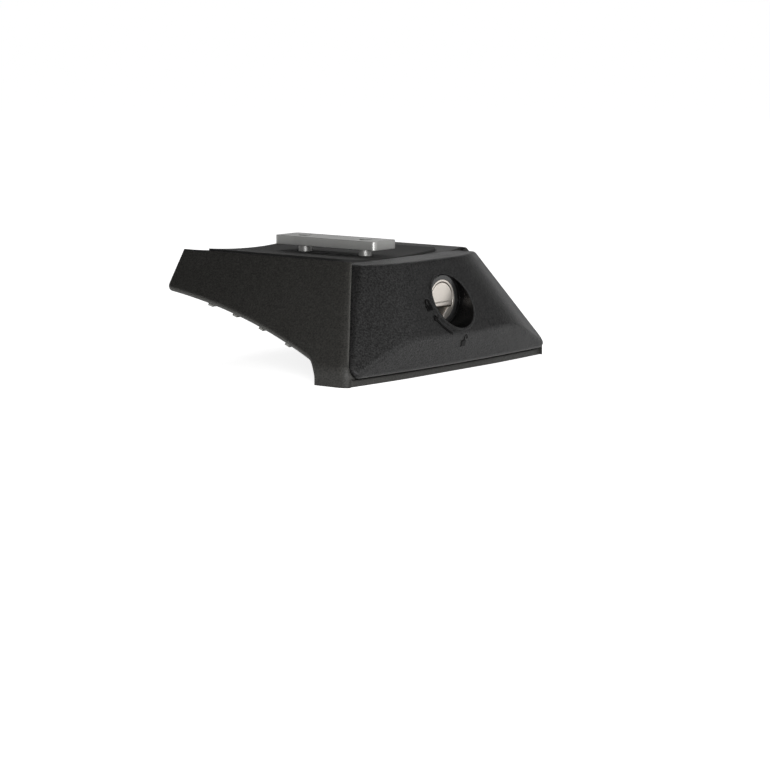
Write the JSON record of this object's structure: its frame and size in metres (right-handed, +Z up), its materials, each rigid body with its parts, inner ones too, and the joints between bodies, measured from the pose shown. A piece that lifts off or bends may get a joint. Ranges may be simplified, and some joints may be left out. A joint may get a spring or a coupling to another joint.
{
  "type": "roof bar foot",
  "caption": "Hollow moulded roof bar foot with a flared base, a wide arm clamped under the bar, and a hip-shaped outer cover held by a cam lock with a key flap.",
  "frame": {"origin": "centre of the base's underside, midway between the base bolt holes", "axes": "+X outboard, towards the lock; +Y along the base; +Z up, towards the bar"},
  "size_m": [0.1262, 0.1424, 0.0549],
  "materials": {
    "leg_plastic": "fine grained satin",
    "cover_plastic": "fine grained satin",
    "lock_plastic": "smooth",
    "lock_metal": "satin plated",
    "pad_rubber": "matt",
    "zinc_steel": "zinc plated",
    "spring_steel": "oiled"
  },
  "bodies": {
    "leg": {"leg_body": "leg_plastic", "saddle_pad": "pad_rubber", "clamp_sleeves": "zinc_steel", "clamp_washers": "zinc_steel", "clamp_spring_washers": "zinc_steel", "base_load_plate": "zinc_steel", "lock_catch": "zinc_steel", "catch_screws": "zinc_steel"},
    "cover": {"outer_cover": "cover_plastic", "lock_housing": "lock_plastic", "lock_clip": "spring_steel"},
    "lock": {"lock_plug": "lock_metal", "flap_pin": "spring_steel", "flap_spring": "spring_steel", "lock_cam": "zinc_steel", "cam_washer": "zinc_steel", "cam_screw": "zinc_steel"},
    "flap": {"key_flap": "lock_metal"},
    "bolt_outer": {"clamp_bolt_outer": "zinc_steel"},
    "bolt_inner": {"clamp_bolt_inner": "zinc_steel"},
    "plate": {"channel_plate": "zinc_steel"}
  },
  "joints": [
    {"name": "cover_release", "type": "slide", "parent": "leg", "child": "cover", "axis": [1, 0, 0], "range_m": [0, 0.045]},
    {"name": "lock_turn", "type": "hinge", "parent": "cover", "child": "lock", "pos_m": [0, 0, 0.0306], "axis": [-1, 0, 0], "range_deg": [0, 90]},
    {"name": "flap_swing", "type": "hinge", "parent": "lock", "child": "flap", "pos_m": [0.00132, 0, 0.0354], "axis": [0, 1, 0], "range_deg": [0, 60], "stiffness_Nm_per_rad": 0.0008, "springref_deg": -34.38},
    {"name": "clamp_bolt_outer_turn", "type": "hinge", "parent": "leg", "child": "bolt_outer", "pos_m": [-0.039, 0, 0.0349], "axis": [0, 0, -1], "range_deg": [0, 720]},
    {"name": "clamp_bolt_inner_turn", "type": "hinge", "parent": "leg", "child": "bolt_inner", "pos_m": [-0.074, 0, 0.0349], "axis": [0, 0, -1], "range_deg": [0, 720]},
    {"name": "clamp_plate_travel", "type": "slide", "parent": "leg", "child": "plate", "axis": [0, 0, 1], "range_m": [0, 0.002]}
  ],
  "couplings": [
    {"joint": "clamp_bolt_outer_turn", "follows": "clamp_plate_travel", "rad_per_m": 6283.2},
    {"joint": "clamp_bolt_inner_turn", "follows": "clamp_plate_travel", "rad_per_m": 6283.2}
  ]
}
